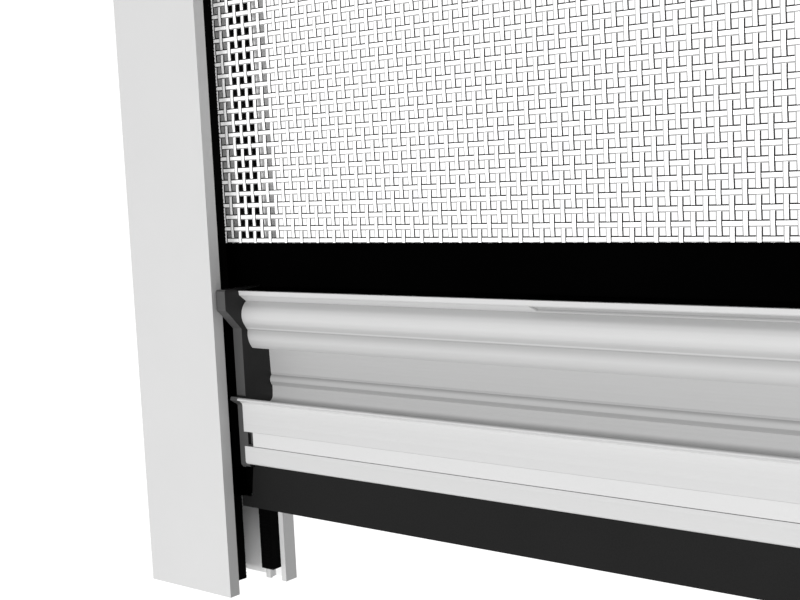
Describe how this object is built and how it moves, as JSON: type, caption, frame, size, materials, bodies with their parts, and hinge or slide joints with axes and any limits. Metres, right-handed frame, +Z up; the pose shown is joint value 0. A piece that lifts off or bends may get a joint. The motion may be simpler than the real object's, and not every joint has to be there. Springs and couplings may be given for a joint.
{
  "type": "retractable window screen frame",
  "caption": "Retractable insect screen for a window: side rails with brushes, top cassette with spring roller, white mesh and a sliding pull bar.",
  "frame": {"origin": "under the middle of the screen, level with the side rails' lower ends, half way through its depth", "axes": "+X across the window to the right as seen from the room, +Y out of the room through the window, +Z up"},
  "size_m": [0.5, 0.043, 0.6],
  "materials": {
    "white_aluminium": "satin powder coat",
    "white_plastic": "satin",
    "black_pile": "matte pile",
    "black_plastic": "satin",
    "black_band": "matte",
    "black_rubber": "matte",
    "white_mesh": "matte",
    "bare_aluminium": "satin",
    "grey_plastic": "satin",
    "steel": "satin"
  },
  "bodies": {
    "frame": {"side_rail_left": "white_aluminium", "side_rail_right": "white_aluminium", "cassette_housing": "white_aluminium", "cassette_end_left": "white_plastic", "cassette_end_right": "white_plastic", "front_brush_left": "black_pile", "front_brush_right": "black_pile", "rear_brush_left": "black_pile", "rear_brush_right": "black_pile", "cassette_brush": "black_pile", "mesh_panel": "white_mesh", "spring_collar": "grey_plastic", "spring_shaft": "steel", "torsion_spring": "steel", "idler_pin": "steel", "cassette_screws": "steel"},
    "bar": {"pull_bar": "white_aluminium", "bar_trim_strip": "white_aluminium", "bar_end_cap_left": "black_plastic", "bar_end_cap_right": "black_plastic", "bottom_seal": "black_rubber", "mesh_band": "black_band", "band_retainer": "black_band"},
    "roller": {"roller_tube": "bare_aluminium", "roller_spline": "grey_plastic", "roller_bush_spring": "grey_plastic", "roller_bush_inner": "grey_plastic", "roller_bush_idler": "grey_plastic", "mesh_roll": "white_mesh"}
  },
  "joints": [
    {"name": "bar_slide", "type": "slide", "parent": "frame", "child": "bar", "axis": [0, 0, 1], "range_m": [-0.0215, 0.474], "deforming": ["mesh_panel"]},
    {"name": "roller_turn", "type": "hinge", "parent": "frame", "child": "roller", "pos_m": [0, 0.0041, 0.577], "axis": [-1, 0, 0], "range_deg": [-108, 2345]}
  ],
  "couplings": [
    {"joint": "roller_turn", "follows": "bar_slide", "rad_per_m": 86.207}
  ]
}
